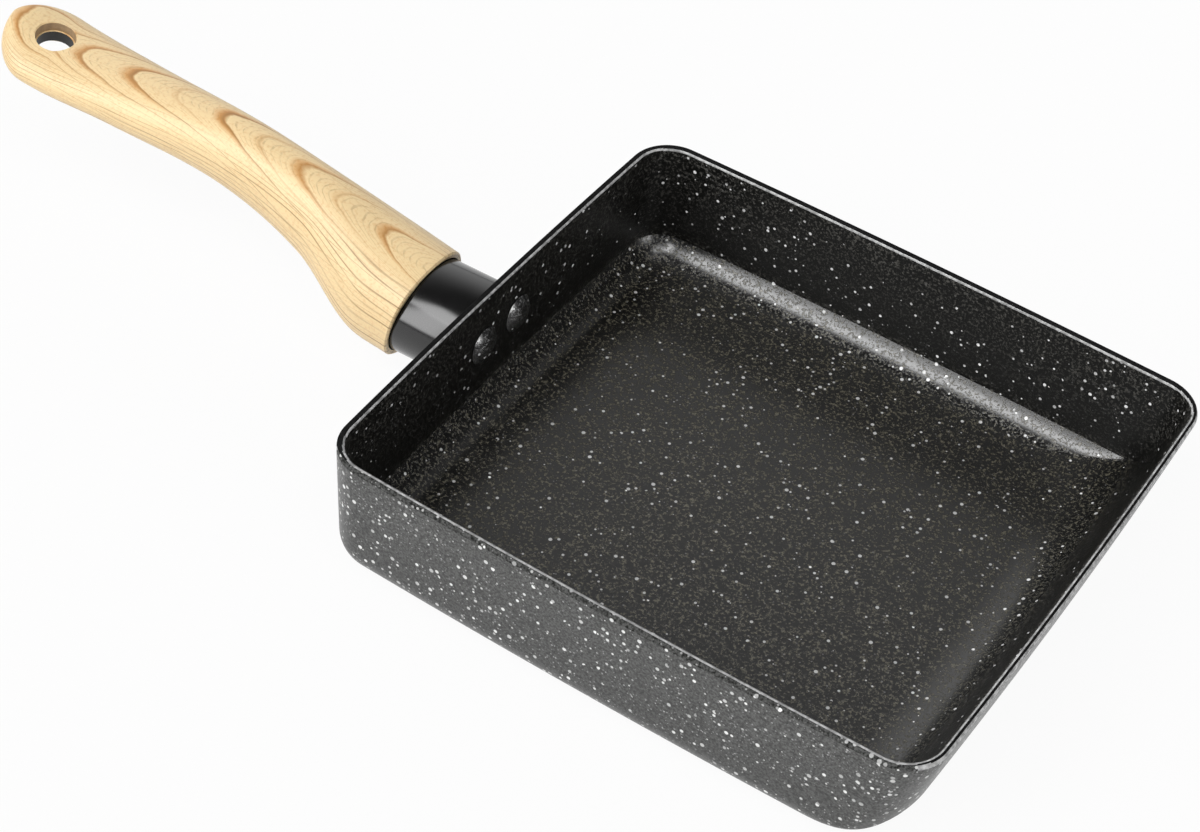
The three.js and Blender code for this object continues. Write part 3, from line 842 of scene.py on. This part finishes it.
def grip_section(share, width_factor, height_factor):
    lift = station_value(LIFT, share)
    half_height = station_value(HALF_HEIGHT, share) * height_factor
    half_width = station_value(HALF_WIDTH, share) * width_factor
    ring = []
    for i in range(SECTION_STEPS):
        angle = 2 * math.pi * i / SECTION_STEPS
        local = Vector((
            half_width * bent(math.cos(angle), 2 / SECTION_POWER),
            lift + half_height * bent(math.sin(angle), 2 / SECTION_POWER),
            share * GRIP_LENGTH,
        ))
        ring.append(GRIP_PLACE @ local)
    return ring


def grip_blank():
    tail = TAIL_ROUND / GRIP_LENGTH
    front = GRIP_FRONT_EDGE / GRIP_LENGTH
    narrower = 1 - GRIP_FRONT_EDGE / STATIONS[0][HALF_WIDTH]
    lower = 1 - GRIP_FRONT_EDGE / STATIONS[0][HALF_HEIGHT]
    rings = [grip_section(0, narrower, lower)]
    for k in range(GRIP_STEPS + 1):
        rings.append(grip_section(front + (1 - tail - front) * k / GRIP_STEPS, 1, 1))
    for k in range(1, TAIL_STEPS + 1):
        angle = TAIL_TURN * k / TAIL_STEPS
        through = math.sin(angle)
        height = TAIL_EDGE_RATIO + (1 - TAIL_EDGE_RATIO) * math.sqrt(1 - through ** 4)
        rings.append(grip_section(1 - tail + tail * through, math.cos(angle), height))
    points, faces = loft(rings, True)
    return new_piece("grip", points, faces, GRIP_LOOKS)


def hole_place():
    along = GRIP_OUT * (HOLE_SHARE * GRIP_LENGTH)
    centre = GRIP_START + along + GRIP_UP * station_value(LIFT, HOLE_SHARE)
    return frame_at(centre, LATERAL, GRIP_OUT, GRIP_UP)


def hang_hole():
    half = station_value(HALF_HEIGHT, HOLE_SHARE)
    reach = half + HOLE_RADIUS
    bottom = -half + HOLE_COUNTERSINK
    profile = [
        (HOLE_LOWER_RADIUS + bottom + reach, -reach),
        (HOLE_LOWER_RADIUS, bottom),
        (HOLE_LOWER_RADIUS, half - HOLE_LEDGE_DEPTH),
        (HOLE_RADIUS, half - HOLE_LEDGE_DEPTH),
        (HOLE_RADIUS, half - HOLE_EDGE),
    ]
    for k in range(1, HOLE_EDGE_STEPS + 1):
        angle = degrees(90) * k / HOLE_EDGE_STEPS
        radius = HOLE_RADIUS + HOLE_EDGE * (1 - math.cos(angle))
        profile.append((radius, half - HOLE_EDGE * (1 - math.sin(angle))))
    profile.append((HOLE_RADIUS + HOLE_EDGE, reach))
    points, faces = turned(profile, hole_place())
    cutter = new_piece("hole_cutter", points, faces, GRIP_LOOKS)
    looks = {LOWER_BORE: MOULDING_AT, UPPER_BORE: SHADED_BORE_AT}
    for face in cutter.data.polygons:
        stretch = min(face.vertices) // ROUND_STEPS
        face.material_index = looks.get(stretch, WOOD_AT)
    return cutter


def moulded(cutter):
    """Gives the faces that the cutter leaves behind the look of the moulding."""
    for face in cutter.data.polygons:
        face.material_index = MOULDING_AT
    return cutter


def front_recess():
    rings = [
        oval_ring(FERRULE_HALF_WIDTH + CLEARANCE, FERRULE_HALF_HEIGHT + CLEARANCE, along, FERRULE_PLACE)
        for along in (FERRULE_SHOWN - FERRULE_INSERT, FERRULE_SHOWN + FERRULE_INSERT)
    ]
    points, faces = loft(rings, True)
    return moulded(new_piece("recess_cutter", points, faces, GRIP_LOOKS))


def tang_slot():
    half_width = TANG_WIDTH / 2 + CLEARANCE
    half_height = TANG_THICKNESS / 2 + CLEARANCE
    signs = [(1, 1), (-1, 1), (-1, -1), (1, -1)]
    rings = []
    for along in (0, TANG_DEPTH + CLEARANCE):
        rings.append([GRIP_PLACE @ Vector((x * half_width, y * half_height, along)) for x, y in signs])
    points, faces = loft(rings, True)
    return moulded(new_piece("slot_cutter", points, faces, GRIP_LOOKS))


def screw_recess():
    along = TANG_DEPTH - SCREW_FROM_TANG_END
    share = along / GRIP_LENGTH
    bottom = station_value(LIFT, share) - station_value(HALF_HEIGHT, share)
    seat = bottom + SCREW_SUNK + SCREW_HEAD_HEIGHT + CLEARANCE + WASHER_THICKNESS + CLEARANCE
    place = frame_at(GRIP_START + GRIP_OUT * along, LATERAL, GRIP_OUT, GRIP_UP)
    radius = SCREW_HEAD + CLEARANCE
    points, faces = turned([(radius, bottom - radius), (radius, seat)], place)
    return moulded(new_piece("screw_cutter", points, faces, GRIP_LOOKS))


def unroll(piece):
    """A map of the grip's skin: the share of UNROLLED_LENGTH along it, and turns from the underside."""
    mesh = piece.data
    layer = mesh.uv_layers.new(name="unrolled")
    back = GRIP_PLACE.inverted()
    unrolled = []
    for vertex in mesh.vertices:
        local = back @ (vertex.co / MM)
        share = min(max(local.z / GRIP_LENGTH, 0), 1)
        wide = local.x / station_value(HALF_WIDTH, share)
        high = (local.y - station_value(LIFT, share)) / station_value(HALF_HEIGHT, share)
        angle = math.atan2(bent(high, SECTION_POWER / 2), bent(wide, SECTION_POWER / 2))
        turn = (angle / (2 * math.pi) + 0.25) % 1
        unrolled.append((local.z / UNROLLED_LENGTH, turn))
    for face in mesh.polygons:
        turns = [unrolled[v][1] for v in face.vertices]
        crosses = max(turns) - min(turns) > 0.5
        for loop in face.loop_indices:
            along, turn = unrolled[mesh.loops[loop].vertex_index]
            if crosses and turn < 0.5:
                turn += 1
            layer.data[loop].uv = (along, turn)


def make_grip():
    piece = grip_blank()
    outward(piece)
    for cutter in (front_recess(), tang_slot(), hang_hole(), screw_recess()):
        outward(cutter)
        cut(piece, cutter)
    unroll(piece)
    smooth(piece, sharp_over=35)
    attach(piece, "root")
    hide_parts("handle_grip")


make_pan()
make_ferrule()
make_rivet("rivet_head_near", "rivet_near", -1)
make_rivet("rivet_head_back", "rivet_back", 1)
make_grip()
for node in ("handle_bracket", "handle_screw", "spring_washer"):
    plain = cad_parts[node]
    plain.data.materials.clear()
    plain.data.materials.append(STEEL)


# Stage, with lengths in metres and angles in degrees

STAGE_REACH = 6.0
STAGE_LEVEL = -0.0002
STAGE_GLOW = 0.94
PANEL_AIM = Vector((0, 0, 0.02))
PANE_BOTTOM_EDGE = 5
ROOM_RADIANCE = 0.045


def make_floor():
    """A matt floor that glows white where it is seen."""
    mesh = bpy.data.meshes.new("floor")
    signs = [(-1, -1), (1, -1), (1, 1), (-1, 1)]
    corners = [(x * STAGE_REACH, y * STAGE_REACH, STAGE_LEVEL) for x, y in signs]
    mesh.from_pydata(corners, [], [(0, 1, 2, 3)])
    floor = bpy.data.objects.new("floor", mesh)
    bpy.context.scene.collection.objects.link(floor)
    shader = Shader("studio_floor")
    shader.set(Base_Color=grey(0.7), Roughness=0.9)
    glow = shader.node("ShaderNodeEmission")
    glow.inputs["Color"].default_value = grey(1)
    glow.inputs["Strength"].default_value = 1.0
    path = shader.node("ShaderNodeLightPath")
    seen = shader.math("MAXIMUM", path.outputs["Is Camera Ray"], path.outputs["Is Glossy Ray"])
    seen = shader.math("MAXIMUM", seen, path.outputs["Is Transmission Ray"])
    blend = shader.node("ShaderNodeMixShader")
    shader.put(blend.inputs[0], shader.math("MULTIPLY", seen, STAGE_GLOW))
    shader.put(blend.inputs[1], shader.surface.outputs[0])
    shader.put(blend.inputs[2], glow.outputs[0])
    shader.put(shader.tree.nodes["Material Output"].inputs["Surface"], blend.outputs[0])
    mesh.materials.append(shader.material)


def make_panel(name, azimuth, elevation, distance, width, height, radiance):
    """A square-on softbox: azimuth is counted from +X towards +Y."""
    a, e = degrees(azimuth), degrees(elevation)
    away = Vector((math.cos(a) * math.cos(e), math.sin(a) * math.cos(e), math.sin(e)))
    light = bpy.data.lights.new(name, "AREA")
    light.shape = "RECTANGLE"
    light.size = width
    light.size_y = height
    light.energy = radiance * math.pi * width * height
    lamp = bpy.data.objects.new(name, light)
    lamp.location = PANEL_AIM + away * distance
    lamp.rotation_mode = "QUATERNION"
    lamp.rotation_quaternion = away.to_track_quat("Z", "Y")
    lamp.visible_camera = False
    bpy.context.scene.collection.objects.link(lamp)


def make_world():
    """A dim room with soft-edged panes of light in front, overhead, on the right and behind.

    Azimuths are counted from +X towards +Y. The camera itself sees a white backdrop instead.
    """
    world = bpy.data.worlds.new("studio")
    world.use_nodes = True
    nodes = Nodes(world.node_tree)
    parts = nodes.node("ShaderNodeSeparateXYZ")
    nodes.put(parts.inputs[0], nodes.node("ShaderNodeTexCoord").outputs["Generated"])
    elevation = nodes.math("ARCSINE", parts.outputs[2])
    azimuth = nodes.math("ARCTAN2", parts.outputs[1], parts.outputs[0])

    def fade(value, low, high):
        return nodes.ramp_between(value, degrees(low), degrees(high))

    def pane(centre, half_width, side_edge, bottom, top, top_edge, radiance):
        aside = nodes.math("ABSOLUTE", nodes.math("SUBTRACT", azimuth, degrees(centre)))
        wide = fade(aside, half_width + side_edge, half_width)
        low = fade(elevation, bottom, bottom + PANE_BOTTOM_EDGE)
        high = fade(elevation, top + top_edge, top)
        shape = nodes.math("MULTIPLY", nodes.math("MULTIPLY", wide, low), high)
        return nodes.math("MULTIPLY", shape, radiance)

    front = pane(centre=-119, half_width=9, side_edge=6, bottom=3, top=38, top_edge=8, radiance=5.6)
    rear = pane(centre=125, half_width=38, side_edge=28, bottom=0, top=20, top_edge=46, radiance=0.95)
    right = pane(centre=-8, half_width=9, side_edge=8, bottom=3, top=24, top_edge=10, radiance=4.5)
    strip = pane(centre=-110, half_width=28, side_edge=10, bottom=39, top=59, top_edge=7, radiance=6.2)
    top = pane(centre=-48, half_width=38, side_edge=12, bottom=55, top=67, top_edge=6, radiance=4.8)
    upright = nodes.math("ADD", front, rear)
    overhead = nodes.math("ADD", strip, top)
    panes = nodes.math("ADD", upright, nodes.math("ADD", right, overhead))
    total = nodes.math("ADD", panes, ROOM_RADIANCE)
    sky = nodes.tree.nodes["Background"]
    sky.inputs["Color"].default_value = grey(1)
    seen = nodes.node("ShaderNodeLightPath").outputs["Is Camera Ray"]
    backdrop = nodes.math("MULTIPLY", seen, nodes.math("SUBTRACT", 1, total))
    nodes.put(sky.inputs["Strength"], nodes.math("ADD", total, backdrop))
    bpy.context.scene.world = world


make_floor()
make_world()
make_panel("top_softbox", azimuth=-42, elevation=60, distance=1.5, width=0.4, height=0.4, radiance=1.5)


# Camera, from the photograph's viewpoint

CAMERA_TARGET = Vector((-38.689, -26.646, 42.892)) * MM
CAMERA_AZIMUTH = degrees(29.011)
CAMERA_ELEVATION = degrees(44.987)
CAMERA_ROLL = degrees(-6.254)
CAMERA_DISTANCE = 752.279 * MM
FOCAL_PIXELS = 2854.874
PHOTO_WIDTH = 1200
SENSOR = 36


def make_camera():
    a, e, r = CAMERA_AZIMUTH, CAMERA_ELEVATION, CAMERA_ROLL
    back = Vector((math.sin(a) * math.cos(e), -math.cos(a) * math.cos(e), math.sin(e)))
    right = Vector((math.cos(a), math.sin(a), 0))
    down = Vector((math.sin(e) * math.sin(a), -math.sin(e) * math.cos(a), -math.cos(e)))
    picture_right = math.cos(r) * right + math.sin(r) * down
    picture_down = -math.sin(r) * right + math.cos(r) * down
    data = bpy.data.cameras.new("camera")
    data.sensor_width = SENSOR
    data.lens = FOCAL_PIXELS / PHOTO_WIDTH * SENSOR
    camera = bpy.data.objects.new("camera", data)
    origin = CAMERA_TARGET + back * CAMERA_DISTANCE
    camera.matrix_world = frame_at(origin, picture_right, -picture_down, back)
    bpy.context.scene.collection.objects.link(camera)
    bpy.context.scene.camera = camera


make_camera()
bpy.context.scene.view_settings.view_transform = "Standard"
